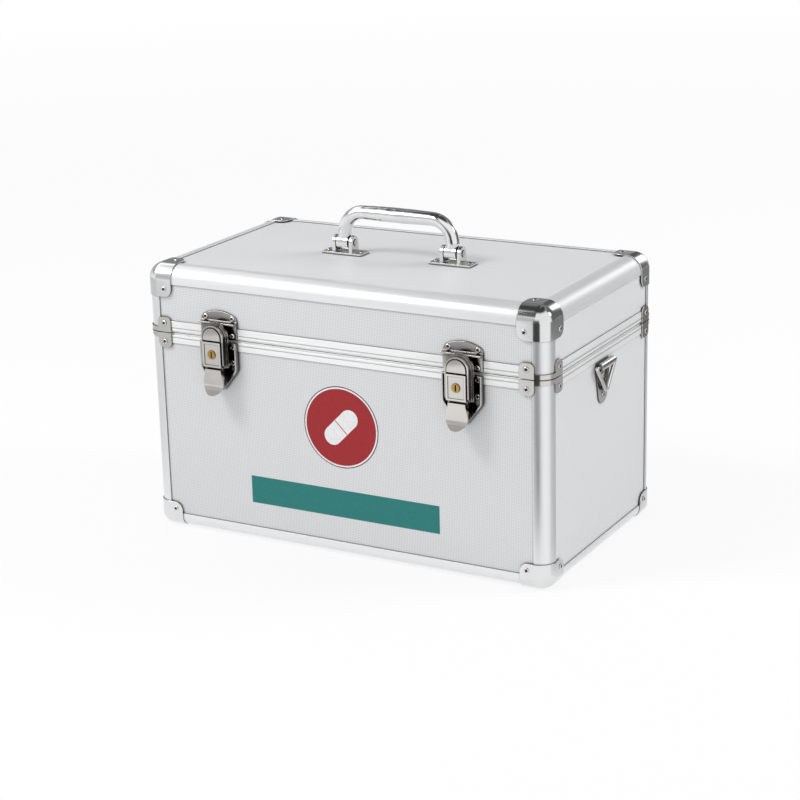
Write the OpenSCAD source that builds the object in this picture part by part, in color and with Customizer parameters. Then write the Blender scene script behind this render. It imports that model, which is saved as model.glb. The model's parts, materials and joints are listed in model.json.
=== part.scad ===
// Medicine storage box: an aluminium framed case with a hinged lid,
// two key latches, a folding handle and a strap ring at each end.
// Millimetres. X runs along the case, the front looks to -Y, Z is up.

/* [Case] */
// Overall length across the corner caps
case_l = 355; // [300:1:450]
// Overall depth across the corner caps
case_w = 200; // [170:1:300]
// Height from the lower caps to the upper caps
case_h = 220; // [190:1:320]
// Height of the lid above the seam
lid_h = 55; // [50:1:80]

/* [Edge profiles] */
// Outer wall of every profile
skin = 1; // [0.8:0.1:1.4]
// Inner wall of every profile
flange = 1; // [0.8:0.1:1.6]
// Depth of the slots that hold the panels
slot_d = 4; // [3:0.1:4.5]
// Outer radius of the posts and the top rails
edge_r = 12; // [9:0.5:12.5]
// Outer radius of the bottom rails
bottom_r = 8; // [6:0.5:9]
// Width of a post on each face
post_leg = 12.8; // [12.6:0.1:16]
// Width of a top rail on each face
top_leg = 14.5; // [13:0.5:18]
// Width of a bottom rail on each face
bottom_leg = 10.5; // [9.5:0.5:14]

/* [Seam] */
// Height of the lid's rim
rim_lid_h = 9.5; // [9:0.5:12]
// Height of the body's rim
rim_body_h = 8.5; // [8:0.5:12]
// Depth of the panel slots in both rims
rim_slot_d = 3; // [2:0.1:3.5]
// Height of the groove that follows the seam
groove_h = 3.2; // [2:0.2:4]
// Depth of the groove that follows the seam
groove_d = 1.2; // [0.6:0.1:1.4]
// Gap between the lid and the body
seam_gap = 0.4; // [0.3:0.1:0.8]
// Height of the tongue that keeps dust out
tongue_h = 4.5; // [3:0.5:5]
// Thickness of the tongue
tongue_t = 1.2; // [0.8:0.1:1.6]
// Room around the tongue
tongue_room = 0.4; // [0.3:0.1:0.8]

/* [Panels] */
// Thickness of the faced boards
panel_t = 3; // [2:0.1:4]
// Play of a board in its slot, each side
slip = 0.05; // [0.02:0.01:0.15]
// Thickness of the foam lining
lining_t = 2; // [1:0.5:5]

/* [Corner caps] */
// Sheet thickness of the caps
cap_wall = 1; // [0.6:0.1:1.5]
// Reach of an upper cap along each edge
cap_leg = 25; // [22:0.5:30]
// Reach of a lower cap along the bottom
cap_low_leg = 24; // [22:0.5:30]
// Height of a lower cap
cap_low_h = 20; // [17:0.5:26]
// Rounding of the caps' free corners
cap_round = 7; // [3:0.5:9]

/* [Seam braces] */
// Sheet thickness of the braces
brace_wall = 1; // [0.6:0.1:1.4]
// Distance from the corner to the end of a brace
brace_reach = 23; // [21:0.5:28]
// Width of a brace's riveted tab
brace_tab_w = 12; // [8:0.5:13]
// Height of a brace's riveted tab
brace_h = 12; // [9:0.5:15]
// Height of the strap that wraps the post
strap_h = 3.6; // [2.5:0.1:5]
// Distance from the seam to a brace
brace_off = 0.4; // [0.3:0.1:1]

/* [Handle] */
// Distance between the two legs
handle_span = 97.5; // [80:0.5:140]
// Height of the grip above the hinge pins
handle_rise = 25.5; // [22:0.5:45]
// Radius of the bar
handle_r = 5.5; // [4:0.1:6.5]
// How much thicker the middle of the grip is
grip_swell = 0.6; // [0.2:0.1:1.5]
// Radius of the bends at the bar's middle line
bend_r = 18; // [10:0.5:21]
// Radius of the eyes at the ends of the legs
eye_r = 6.2; // [6:0.1:7]
// Radius of the hinge pins
handle_pin_r = 2.5; // [1.5:0.1:3]
// Thickness of the bracket's plate
bracket_t = 2; // [1.5:0.1:3]
// Length of the bracket's plate
bracket_l = 36; // [34:0.5:44]
// Width of the bracket's plate
bracket_w = 14; // [11:0.5:20]
// Thickness of an ear
ear_t = 3.2; // [2:0.1:4]
// Room beside and below a leg
handle_room = 0.5; // [0.3:0.1:1]

/* [Latches] */
// Distance from the end of the case to the middle of a latch
latch_inset = 70; // [57:0.5:110]
// Width of the strike and of the base
latch_w = 33; // [32:0.5:42]
// Sheet thickness of the latch parts
latch_wall = 1.2; // [0.8:0.1:1.5]
// Width of the lever
lever_w = 16.4; // [16:0.1:19]
// Distance of the lever's face from the panel
lever_out = 14; // [13.5:0.1:16]
// Radius of the latch pins
latch_pin_r = 1.25; // [0.8:0.05:1.4]
// Depth of the lever's pin below the seam
pin_a_drop = 3; // [2.9:0.1:5]
// Distance of the lever's pin behind the lever's face
pin_a_back = 5.8; // [5.4:0.1:6]
// Distance of the bail's pin below the lever's pin
pin_pitch = 15; // [14:0.1:17]
// Height of the strike above the seam
strike_h = 22.8; // [21.5:0.1:30]
// Radius of the strike's domed top
strike_dome_r = 30; // [22:1:60]
// Depth of the base below the seam
base_h = 41; // [37:0.5:50]
// Height of the raised border of the base
base_border = 2.6; // [1:0.1:3]
// Length of the lever below the seam
lever_len = 42.5; // [40:0.5:55]
// Height of the part of the tab that flares outwards
tab_flare_h = 8.4; // [5:0.1:9]
// How far the tab flares outwards at its end
tab_flare = 4.3; // [1:0.1:6]
// Height of the bail's arch above the seam
bail_top = 13.5; // [13:0.1:16]
// Radius of the lock plug
plug_r = 3.4; // [2:0.1:4]

/* [Side rings] */
// Height of the ring's knuckle below the seam
ring_drop = 12.5; // [12:0.5:30]
// Length of the knuckle
knuckle_l = 25; // [20:1:40]
// Outer radius of the knuckle
knuckle_r = 3.2; // [2.6:0.1:4]
// Radius of the ring's wire
wire_r = 1.5; // [0.9:0.1:1.6]
// Distance from the ring's top bar to its lowest bend
ring_h = 20.5; // [18:0.5:40]
// Radius of the lowest bend
ring_bend_r = 3.5; // [2.5:0.5:6]
// Height of the ring's plate below the knuckle
plate_drop = 31.5; // [26:0.5:45]
// Radius of the plate's lower end
plate_end_r = 8.5; // [6:0.5:10]
// Thickness of the ring's plate
plate_t = 1.2; // [0.8:0.1:1.6]

/* [Rear hinges] */
// Distance from the end of the case to the middle of a hinge
hinge_inset = 72.5; // [60:0.5:110]
// Length of a hinge
hinge_l = 55; // [40:1:70]
// Height of each leaf
leaf_h = 24; // [22:0.5:30]
// Thickness of a leaf
leaf_t = 1.2; // [0.8:0.1:1.5]
// Radius of the barrel
barrel_r = 2.8; // [2.4:0.1:3]
// Distance of the pin from the back of the profiles
hinge_off = 3.8; // [3.7:0.1:5]
// Radius of the hinge pin
hinge_pin_r = 1.5; // [1:0.1:1.6]

/* [Fits and rivets] */
// Radial clearance of every turning pin
pin_play = 0.05; // [0.02:0.01:0.1]
// Gap under the caps and braces
seat = 0.05; // [0.02:0.01:0.1]
// Radius of a rivet head
rivet_r = 2.2; // [1.5:0.1:2.5]
// Height of a rivet head
rivet_h = 0.9; // [0.5:0.1:1.2]

/* [Hidden] */

$fn = 64;
tiny = 0.01;
far = 500;

// Walls of the profiles and the faces that everything else is set from
slot_w = panel_t + 2 * slip;
prof_d = skin + slot_w + flange;
panel_in = skin + slip;
proud = cap_wall + seat;
face_x = case_l / 2 - proud;
face_y = case_w / 2 - proud;
low_z = proud;
high_z = case_h - proud;
seam_z = case_h - lid_h;
edge_gap = 0.2;
butt_gap = 0.05;

// The caps are faceted, so their insides stand off by the depth of a flat
cap_facets = 32;
cap_flat = edge_r * (1 / cos(180 / cap_facets) - 1);

// Boards, each held in slots on all four sides
board_x = face_x - post_leg + slot_d - edge_gap;
board_y = face_y - post_leg + slot_d - edge_gap;
board_low = low_z + bottom_leg - slot_d + edge_gap;
board_rim_low = seam_z - rim_body_h + rim_slot_d - edge_gap;
board_rim_high = seam_z + rim_lid_h - rim_slot_d + edge_gap;
board_high = high_z - top_leg + slot_d - edge_gap;

// Latch, measured from the front panel (u outwards) and from the seam (z)
latch_x = case_l / 2 - latch_inset;
latch_y = face_y - panel_in;
base_top = -groove_h / 2;
base_face = panel_in + latch_wall;
base_slant = 17;
base_tip = 3;
base_corner = 6;
base_tip_r = 4;
border_notch = lever_w / 2 + 0.4;
strike_corner = 4;
pin_a_u = lever_out - pin_a_back;
pin_a_z = -pin_a_drop;
pin_b_u = pin_a_u - 1;
pin_b_z = pin_a_z - pin_pitch;
pin_lug = 2.7;
lever_top = pin_a_z + 3.4;
key_low = pin_b_z - 1.8;
key_border = 1.5;
key_recess = 0.45;
lever_in = lever_w / 2 - latch_wall;
tab_face = lever_out - 0.8;
tab_t = 1.4;
tab_gap_h = 2.2;
tab_gap_d = 3;
tab_flange_d = 5.4;
tab_neck_w = lever_w - 2;
tab_end_r = lever_w / 2 + 0.9;
tab_top = key_low - tab_gap_h;
tab_bend_z = tab_flare_h - lever_len;
bail_room = 0.5;
bail_in = lever_w / 2 + bail_room;
bail_out = bail_in + latch_wall;
bail_steps = [[1.3, 9.9], [2, 8.6]];
lip_z = bail_top - 0.4;
lip_t = 1.3;
lip_out = 6.3;
bail_back = lip_out + 0.4;
bail_face = lever_out - 0.8;
bail_set = 1.5;
bail_groove = 0.9;
bail_gap = 1.2;
bail_straight = lever_top + 2;
leg_back = base_face + 1.2;
leg_slim = 0.6;
bail_edge = bail_out + bail_steps[1][0];
ear_out = lever_in - bail_room;
plug_z = (lever_top + key_low) / 2;
plug_u = pin_b_u + 0.6;
plug_proud = 0.3;
key_slot_w = 1;
key_slot_d = 3;
plug_tail = 2;

// Handle
top_face = high_z - panel_in;
handle_pivot_z = top_face + bracket_t + eye_r + handle_room + 0.8;
handle_z = handle_pivot_z + handle_rise;
ear_in = handle_r + handle_room;

// Side rings, measured from the side panels
side_face = face_x - panel_in;
ring_z = seam_z - ring_drop;
ring_u = knuckle_r + plate_t / 2;
ring_room = 0.3;
function ring_slant(half) = atan2(half, ring_h - ring_bend_r)
    - asin(ring_bend_r / norm([half, ring_h - ring_bend_r]));
knuckle_slant = ring_slant(knuckle_l / 2 + wire_r + knuckle_r);
ring_half = knuckle_l / 2
    + (wire_r + ring_room + knuckle_r * sin(knuckle_slant)) / cos(knuckle_slant);

// Rear hinges
hinge_x = case_l / 2 - hinge_inset;
hinge_y = face_y + hinge_off;
leaf_clear = barrel_r + 0.4;
leaf_start = sqrt(pow(leaf_clear, 2) - pow(max(hinge_off - leaf_t, 0), 2)) + 0.3;
knuckles = 5;
knuckle_gap = 0.3;

// The case is set back so that the origin lies under the middle of the whole part
front_reach = latch_y + tab_face + tab_flare;
back_reach = hinge_y + barrel_r;
shift_y = (front_reach - back_reach) / 2;

module place() translate([0, shift_y, 0]) children();
module each_corner() for (sx = [0, 1], sy = [0, 1]) mirror([sx, 0, 0]) mirror([0, sy, 0]) children();
module both_ends() for (s = [0, 1]) mirror([s, 0, 0]) children();
module both_sides() for (s = [0, 1]) mirror([0, s, 0]) children();
// A shape drawn in (y, z) or (x, z) and drawn out along the other level axis
module along_x(len) rotate([90, 0, 90]) linear_extrude(len, center = true) children();
module along_y(len) rotate([90, 0, 0]) linear_extrude(len, center = true) children();

// What has to come off a square corner at the origin to round it
module corner_waste(r) difference() {
    translate([-1, -1]) square(r + 1);
    translate([r, r]) circle(r);
}

// Section of an edge profile, with its outer corner at the origin
module edge_section(leg, r) difference() {
    square(leg);
    corner_waste(r);
    translate([prof_d, prof_d]) square(leg);
    translate([leg - slot_d, skin]) square([leg, slot_w]);
    translate([skin, leg - slot_d]) square([slot_w, leg]);
}

// The same section, turned so that its outer corner points to +X and +Y
module turned_section(leg, r) rotate(180) edge_section(leg, r);

// Sections of the two rims: depth from the outer face, height from the seam
module body_rim_section() {
    difference() {
        translate([0, -rim_body_h]) square([prof_d, rim_body_h - seam_gap / 2]);
        translate([skin, -rim_body_h - 1]) square([slot_w, rim_slot_d + 1]);
        translate([-1, -groove_h / 2]) square([groove_d + 1, groove_h]);
    }
    translate([prof_d - tongue_t, -seam_gap]) square([tongue_t, tongue_h + seam_gap]);
}

module lid_rim_section() difference() {
    translate([0, seam_gap / 2]) square([prof_d, rim_lid_h - seam_gap / 2]);
    translate([skin, rim_lid_h - rim_slot_d]) square([slot_w, rim_slot_d + 1]);
    translate([-1, -groove_h / 2]) square([groove_d + 1, groove_h]);
    translate([prof_d - tongue_t - tongue_room, -1]) square([far, tongue_h + tongue_room + 1]);
}

// Boards
module upright_board_x(side, z0, z1) translate([-board_x, side * (face_y - panel_in - panel_t / 2)
    - panel_t / 2, z0]) cube([2 * board_x, panel_t, z1 - z0]);
module upright_board_y(side, z0, z1) translate([side * (face_x - panel_in - panel_t / 2)
    - panel_t / 2, -board_y, z0]) cube([panel_t, 2 * board_y, z1 - z0]);
module level_board(leg, z0) translate([0, 0, z0 + panel_t / 2])
    cube([2 * (face_x - leg + slot_d - edge_gap), 2 * (face_y - leg + slot_d - edge_gap), panel_t],
        center = true);

module front_panel() color("gainsboro") upright_board_x(-1, board_low, board_rim_low);
module back_panel() color("gainsboro") upright_board_x(1, board_low, board_rim_low);
module left_panel() color("gainsboro") upright_board_y(-1, board_low, board_rim_low);
module right_panel() color("gainsboro") upright_board_y(1, board_low, board_rim_low);
module bottom_panel() color("gainsboro") level_board(bottom_leg, low_z + panel_in);
module lid_front_panel() color("gainsboro") upright_board_x(-1, board_rim_high, board_high);
module lid_back_panel() color("gainsboro") upright_board_x(1, board_rim_high, board_high);
module lid_left_panel() color("gainsboro") upright_board_y(-1, board_rim_high, board_high);
module lid_right_panel() color("gainsboro") upright_board_y(1, board_rim_high, board_high);
module top_panel() color("gainsboro") level_board(top_leg, high_z - panel_in - panel_t);

// Profiles, cut off square under the caps
module posts(z0, z1) color("silver") each_corner()
    translate([face_x, face_y, z0]) linear_extrude(z1 - z0) turned_section(post_leg, edge_r);
module rails(leg, r, z) color("silver") {
    stop = max(leg, post_leg) + butt_gap;
    both_sides() along_x(2 * (face_x - stop)) translate([face_y, z]) turned_section(leg, r);
    both_ends() along_y(2 * (face_y - stop)) translate([face_x, z]) turned_section(leg, r);
}

module body_posts() posts(low_z + bottom_r + butt_gap, seam_z - seam_gap / 2);
module lid_posts() posts(seam_z + seam_gap / 2, high_z - edge_r - butt_gap);
module top_rails() rails(top_leg, edge_r, high_z);
module bottom_rails() translate([0, 0, low_z]) mirror([0, 0, 1]) rails(bottom_leg, bottom_r, 0);

module rim_rails() color("silver") {
    both_sides() along_x(2 * (face_x - post_leg - butt_gap))
        translate([face_y, seam_z]) mirror([1, 0]) children();
    both_ends() along_y(2 * (face_y - post_leg - butt_gap))
        translate([face_x, seam_z]) mirror([1, 0]) children();
}
module body_rim() rim_rails() body_rim_section();
module lid_rim() rim_rails() lid_rim_section();

// Solid form of a rounded case corner. Distances run inwards from the corner.
module corner_form(plan_r, roll_r, grow) hull() for (i = [0, 1], j = [0, 1])
    translate([plan_r + i * cap_leg, plan_r + j * cap_leg, roll_r]) {
        rotate_extrude($fn = cap_facets) intersection() {
            translate([plan_r - roll_r, 0]) circle(roll_r + grow, $fn = cap_facets);
            translate([0, -far]) square([far, 2 * far]);
        }
        cylinder(r = plan_r + grow, h = cap_leg, $fn = cap_facets);
    }

// Outline of a cap on one face, with its free corner rounded
module cap_outline(a, b) difference() {
    translate([-proud - 1, -proud - 1]) square([a + proud + 1, b + proud + 1]);
    translate([a, b]) rotate(180) corner_waste(cap_round);
}

module cap(leg, height, roll_r) difference() {
    intersection() {
        corner_form(edge_r, roll_r, proud);
        translate([0, 0, -proud - 1]) linear_extrude(far) cap_outline(leg, leg);
        rotate([90, 0, 0]) linear_extrude(far, center = true) cap_outline(leg, height);
        rotate([90, 0, 90]) linear_extrude(far, center = true) cap_outline(leg, height);
    }
    corner_form(edge_r, roll_r, seat + cap_flat);
}

// From distances inwards from a corner to the case
module at_top_corner() translate([face_x, face_y, high_z]) mirror([0, 0, 1]) rotate(180) children();
module at_bottom_corner() translate([face_x, face_y, low_z]) rotate(180) children();

module top_caps() color("lightgray") each_corner() at_top_corner() cap(cap_leg, cap_leg, edge_r);
module bottom_caps() color("lightgray")
    each_corner() at_bottom_corner() cap(cap_low_leg, cap_low_h, bottom_r);

// A brace wraps the post at the seam: a narrow strap with a riveted tab at each end
module brace_tab() rotate([90, 0, 0]) translate([0, 0, seat]) linear_extrude(brace_wall) difference() {
    translate([brace_reach - brace_tab_w, brace_off]) square([brace_tab_w, brace_h]);
    for (s = [0, 1]) translate([brace_reach - brace_tab_w / 2, brace_off + brace_h]) mirror([s, 0])
        translate([brace_tab_w / 2, 0]) rotate(180) corner_waste(brace_tab_w / 3);
}

module brace() {
    outer = seat + brace_wall;
    translate([0, 0, brace_off]) linear_extrude(strap_h) difference() {
        translate([-outer, -outer]) difference() {
            square(brace_reach + outer);
            corner_waste(edge_r + outer);
        }
        translate([-seat, -seat]) difference() {
            square(far);
            corner_waste(edge_r + seat);
        }
    }
    brace_tab();
    mirror([1, -1, 0]) brace_tab();
}

module brace_pair_place() translate([face_x, face_y, seam_z]) rotate(180) children();
module lid_braces() color("lightgray") each_corner() brace_pair_place() brace();
module body_braces() color("lightgray") each_corner() brace_pair_place() mirror([0, 0, 1]) brace();

// Foam lining, glued inside the frames
module foam_box(z0, z1) translate([0, 0, (z0 + z1) / 2])
    cube([2 * (face_x - prof_d - butt_gap), 2 * (face_y - prof_d - butt_gap), z1 - z0], center = true);
module foam_room(z0, z1) translate([0, 0, (z0 + z1) / 2])
    cube([2 * (face_x - prof_d - butt_gap - lining_t), 2 * (face_y - prof_d - butt_gap - lining_t),
        z1 - z0], center = true);

lining_floor = low_z + prof_d + butt_gap;
lining_roof = high_z - prof_d - butt_gap;
lid_lining_low = seam_z + tongue_h + tongue_room + 0.6;

module body_lining() color("dimgray") difference() {
    foam_box(lining_floor, seam_z - 1);
    foam_room(lining_floor + lining_t, seam_z + 1);
}
module lid_lining() color("dimgray") difference() {
    foam_box(lid_lining_low, lining_roof);
    foam_room(lid_lining_low - 1, lining_roof - lining_t);
}

// Rivet heads stand along +Z on the plate that they hold
module rivet() {
    dome_r = (pow(rivet_r, 2) + pow(rivet_h, 2)) / (2 * rivet_h);
    rotate_extrude() intersection() {
        translate([0, rivet_h - dome_r]) circle(dome_r);
        square([far, rivet_h]);
    }
}

cap_rivet = cap_leg - 6.5;
low_rivet_a = cap_low_leg - 6;
low_rivet_h = cap_low_h - 5.5;
brace_rivet_a = brace_reach - brace_tab_w / 2;
brace_rivet_h = brace_off + brace_h * 0.6;

// A rivet on each of the two upright faces of a corner
module rivets_on_uprights(a, h) {
    translate([a, -proud, h]) rotate([90, 0, 0]) rivet();
    translate([-proud, a, h]) rotate([0, -90, 0]) rivet();
}

module corner_rivets_lid() {
    at_top_corner() {
        rivets_on_uprights(cap_rivet, cap_rivet);
        translate([cap_rivet, cap_rivet, -proud]) rotate([180, 0, 0]) rivet();
    }
    brace_pair_place() translate([proud - seat - brace_wall, proud - seat - brace_wall, 0])
        rivets_on_uprights(brace_rivet_a, brace_rivet_h);
}

module corner_rivets_body() {
    at_bottom_corner() rivets_on_uprights(low_rivet_a, low_rivet_h);
    brace_pair_place() translate([proud - seat - brace_wall, proud - seat - brace_wall, 0])
        rivets_on_uprights(brace_rivet_a, -brace_rivet_h);
}

// Latches. A part is drawn with u along +Y and then turned to the front.
module latch_place(side) translate([side * latch_x, -latch_y, seam_z]) mirror([0, 1, 0]) children();
module on_latch_face(x, u, z) translate([x, u, z]) rotate([-90, 0, 0]) children();

rivet_in = latch_w / 2 - 4.2;
strike_low = groove_h / 2 - 0.7;
strike_rivet_drop = 5.3;
strike_rivet_z = strike_h - strike_rivet_drop;
strike_low_rivet_z = groove_h / 2 + rivet_r;

// Points on an arc, from one bearing to another
function arc_points(centre, r, from, to, skip = 0, steps = 8) = [for (i = [skip:steps - skip])
    let (a = from + (to - from) * i / steps) centre + r * [cos(a), sin(a)]];

// A flat dome that runs into round shoulders
module strike_outline() {
    half = latch_w / 2;
    dome = [0, strike_h - strike_dome_r];
    run = half - strike_corner;
    shoulder = [run, dome[1] + sqrt(pow(strike_dome_r - strike_corner, 2) - pow(run, 2))];
    turn = acos(run / (strike_dome_r - strike_corner));
    polygon(concat([[-half, strike_low], [half, strike_low]],
        arc_points(shoulder, strike_corner, 0, turn),
        arc_points(dome, strike_dome_r, turn, 180 - turn, 1, 20),
        arc_points([-run, shoulder[1]], strike_corner, 180 - turn, 180)));
}

// The sheet steps over the rim and carries a shelf that the bail draws down on
module strike_section() polygon([
    [0, rim_lid_h + edge_gap], [0, strike_h + 1], [latch_wall, strike_h + 1],
    [latch_wall, lip_z + 1.5 * lip_t], [base_face, lip_z + lip_t], [lip_out, lip_z + lip_t],
    [lip_out, lip_z], [base_face, lip_z], [base_face, 0], [panel_in, 0],
    [panel_in, rim_lid_h + edge_gap]]);

module strike() intersection() {
    along_x(latch_w) strike_section();
    seen_from_front() strike_outline();
}

// The tray narrows to a rounded tip; an inset outline keeps the centres of its corners
module base_outline(inset) {
    half = latch_w / 2;
    turn = atan2(half - base_tip, base_slant);
    side = [half - base_corner, base_slant - base_h + base_corner * tan(turn / 2)];
    tip = [base_tip - base_tip_r * tan(45 - turn / 2), base_tip_r - base_h];
    polygon(concat([[inset - half, base_top - inset], [half - inset, base_top - inset]],
        arc_points(side, base_corner - inset, 0, -turn), arc_points(tip, base_tip_r - inset, -turn, -90),
        arc_points([-tip[0], tip[1]], base_tip_r - inset, -90, turn - 180),
        arc_points([-side[0], side[1]], base_corner - inset, turn - 180, -180)));
}

module latch_ear() along_x(latch_wall) difference() {
    union() {
        translate([pin_a_u, pin_a_z]) circle(pin_lug);
        polygon([[base_face - tiny, pin_a_z - 2 * pin_lug], [base_face - tiny, pin_a_z],
            [pin_a_u - pin_lug / 4, pin_a_z + 0.95 * pin_lug],
            [pin_a_u + pin_lug / 2, pin_a_z - 0.85 * pin_lug]]);
    }
    translate([pin_a_u, pin_a_z]) circle(latch_pin_r + pin_play);
}

// The border is cut away at the top, where the lever swings in as it opens
module latch_base() {
    difference() {
        rotate([-90, 0, 0]) mirror([0, 1, 0]) linear_extrude(base_face) base_outline(0);
        translate([-latch_w, -1, -rim_body_h - edge_gap])
            cube([2 * latch_w, panel_in + 1, rim_body_h + 1]);
    }
    translate([0, base_face - tiny, 0]) rotate([-90, 0, 0]) mirror([0, 1, 0])
        linear_extrude(base_border + tiny) difference() {
            base_outline(0);
            base_outline(latch_wall);
            translate([-border_notch, base_top - 2 * latch_wall])
                square([2 * border_notch, 3 * latch_wall]);
        }
    both_ends() translate([ear_out - latch_wall / 2, 0, 0]) latch_ear();
}

module latch_pin(u, z, half) translate([0, u, z]) rotate([0, 90, 0])
    cylinder(r = latch_pin_r, h = 2 * half, center = true);

// Side wall of the lever with its two pin holes
module lever_side() along_x(latch_wall) difference() {
    polygon([[lever_out, lever_top], [pin_a_u + pin_lug / 2, lever_top],
        [pin_a_u - pin_lug, pin_a_z - pin_lug / 4], [pin_b_u - pin_lug, pin_b_z],
        [pin_b_u - pin_lug / 2, pin_b_z - pin_lug], [lever_out - tab_gap_d - latch_wall, tab_top - tab_t],
        [lever_out - tab_gap_d, tab_top], [lever_out - tab_gap_d, key_low], [lever_out, key_low]]);
    translate([pin_a_u, pin_a_z]) circle(latch_pin_r + pin_play);
    translate([pin_b_u, pin_b_z]) circle(latch_pin_r + pin_play);
}

// The sheet dips inwards below the key plate, hangs straight and then sweeps outwards
tab_steps = 6;
tab_curve = [for (i = [0:tab_steps]) [tab_face + tab_flare * pow(i / tab_steps, 2),
    tab_bend_z - tab_flare_h * i / tab_steps]];
module tab_section() polygon(concat([[lever_out, key_low + tiny], [lever_out, key_low],
    [lever_out - tab_gap_d, key_low], [lever_out - tab_gap_d, tab_top], [tab_face, tab_top]], tab_curve,
    [for (i = [tab_steps:-1:0]) tab_curve[i] - [tab_t, 0]], [[tab_face - tab_t, tab_top - tab_t],
    [lever_out - tab_gap_d - latch_wall, tab_top - tab_t],
    [lever_out - tab_gap_d - latch_wall, key_low + tiny]]));

// The tab seen from the front: a neck that widens into a round end
neck_steps = 6;
module tab_outline(inset) {
    end_z = tab_end_r - lever_len;
    neck = [for (i = [0:neck_steps]) let (s = i / neck_steps)
        [tab_neck_w / 2 - inset + (tab_end_r - tab_neck_w / 2) * s * s * (3 - 2 * s),
        tab_top + (end_z - tab_top) * s]];
    polygon(concat(neck, arc_points([0, end_z], tab_end_r - inset, 0, -180, 1, 24),
        [for (i = [neck_steps:-1:0]) [-neck[i][0], neck[i][1]]]));
}

module seen_from_front() rotate([90, 0, 0]) linear_extrude(far, center = true) children();

// Folded edge that stiffens the neck of the tab, deepest at its top
module tab_fold() intersection() {
    along_x(lever_w) polygon([[tab_face, tab_top], [tab_face, tab_bend_z],
        [tab_face - tab_t, tab_bend_z], [tab_face - tab_flange_d, tab_top - tab_flange_d / 2],
        [tab_face - tab_flange_d, tab_top]]);
    seen_from_front() difference() {
        tab_outline(0);
        tab_outline(latch_wall);
    }
}

module lever() color("silver") {
    both_ends() translate([lever_w / 2 - latch_wall / 2, 0, 0]) lever_side();
    tab_fold();
    difference() {
        translate([-lever_w / 2, lever_out - latch_wall, key_low])
            cube([lever_w, latch_wall, lever_top - key_low]);
        translate([key_border - lever_w / 2, lever_out - key_recess, key_low + key_border])
            cube([lever_w - 2 * key_border, 1, lever_top - key_low - 2 * key_border]);
        on_latch_face(0, lever_out - latch_wall - 1, plug_z)
            cylinder(r = plug_r + pin_play, h = latch_wall + 2);
    }
    intersection() {
        along_x(2 * tab_end_r) tab_section();
        seen_from_front() union() {
            tab_outline(0);
            translate([-lever_w / 2, tab_top]) square([lever_w, 2 * tab_gap_h]);
        }
    }
}

// Outline of the bail seen from the front: an arch on two straight legs
module arch(half, low) {
    arch_z = bail_top - bail_out;
    translate([0, arch_z]) intersection() {
        circle(half);
        translate([-half, 0]) square(2 * half);
    }
    translate([-half, low]) square([2 * half, arch_z - low + tiny]);
}

// Side view of a leg, from its front face back to the tray
module leg_side(front, back) polygon([[bail_back, bail_straight], [front, bail_straight],
    [front, pin_b_z], [(front + pin_b_u) / 2, pin_b_z - pin_lug], [pin_b_u, pin_b_z - pin_lug],
    [pin_b_u - pin_lug, pin_b_z], [back, pin_b_z + 2 * pin_lug], [back, pin_a_z - pin_lug],
    [bail_back, pin_a_z]]);

module bail_leg() difference() {
    union() {
        along_x(latch_wall) leg_side(bail_face - leg_slim, leg_back);
        for (step = bail_steps) translate([step[0] / 2, 0, 0])
            along_x(latch_wall + step[0]) leg_side(step[1], bail_back - tiny);
    }
    translate([0, pin_b_u, pin_b_z]) rotate([0, 90, 0])
        cylinder(r = latch_pin_r + pin_play, h = 4 * latch_wall + 2 * bail_steps[1][0], center = true);
}

// A slice of the bail, from one distance in front of the panel to another
module bail_slice(from_u, to_u) translate([0, from_u, 0]) rotate([-90, 0, 0]) mirror([0, 1, 0])
    linear_extrude(to_u - from_u) children();

// A raised pad inside a rim, with a groove between them, and two steps down outside the rim
module bail() color("silver") {
    web_face = bail_face - bail_set;
    bail_slice(bail_back, bail_face - leg_slim) difference() {
        arch(bail_out, bail_straight - tiny);
        arch(bail_in, lever_top);
    }
    for (step = bail_steps) bail_slice(bail_back, step[1]) difference() {
        arch(bail_out + step[0], bail_straight - tiny);
        arch(bail_in + latch_wall / 2, lever_top);
    }
    bail_slice(web_face - latch_wall, web_face) arch(bail_in + latch_wall / 2, lever_top + bail_gap);
    bail_slice(web_face - tiny, bail_face) arch(bail_in - bail_groove, lever_top + bail_gap);
    both_ends() translate([bail_in + latch_wall / 2, 0, 0]) bail_leg();
}

module lock_plug() color("goldenrod") {
    difference() {
        on_latch_face(0, plug_u, plug_z) cylinder(r = plug_r, h = lever_out + plug_proud - plug_u);
        translate([-key_slot_w / 2, lever_out - key_slot_d, plug_z - plug_r * 0.7])
            cube([key_slot_w, 2 * key_slot_d, plug_r * 1.4]);
    }
    translate([-plug_r / 2, plug_u, plug_z - plug_r - plug_tail])
        cube([plug_r, latch_wall, plug_r + plug_tail]);
}

module left_latch_base() color("lightgray") latch_place(-1) latch_base();
module right_latch_base() color("lightgray") latch_place(1) latch_base();
module left_strike() color("lightgray") latch_place(-1) strike();
module right_strike() color("lightgray") latch_place(1) strike();
module lever_pin(side) color("dimgray") latch_place(side) latch_pin(pin_a_u, pin_a_z, lever_w / 2 + 0.1);
module bail_pin(side) color("dimgray") latch_place(side) latch_pin(pin_b_u, pin_b_z, bail_edge + 0.3);

module latch_rivets_lid() for (side = [-1, 1]) latch_place(side) both_ends() {
    on_latch_face(rivet_in, latch_wall, strike_rivet_z) rivet();
    on_latch_face(rivet_in, base_face, strike_low_rivet_z) rivet();
}
module latch_rivets_body() for (side = [-1, 1]) latch_place(side) both_ends() {
    on_latch_face(rivet_in, base_face, -rim_body_h / 2 - 1) rivet();
    on_latch_face(rivet_in, base_face, pin_b_z) rivet();
}

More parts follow.
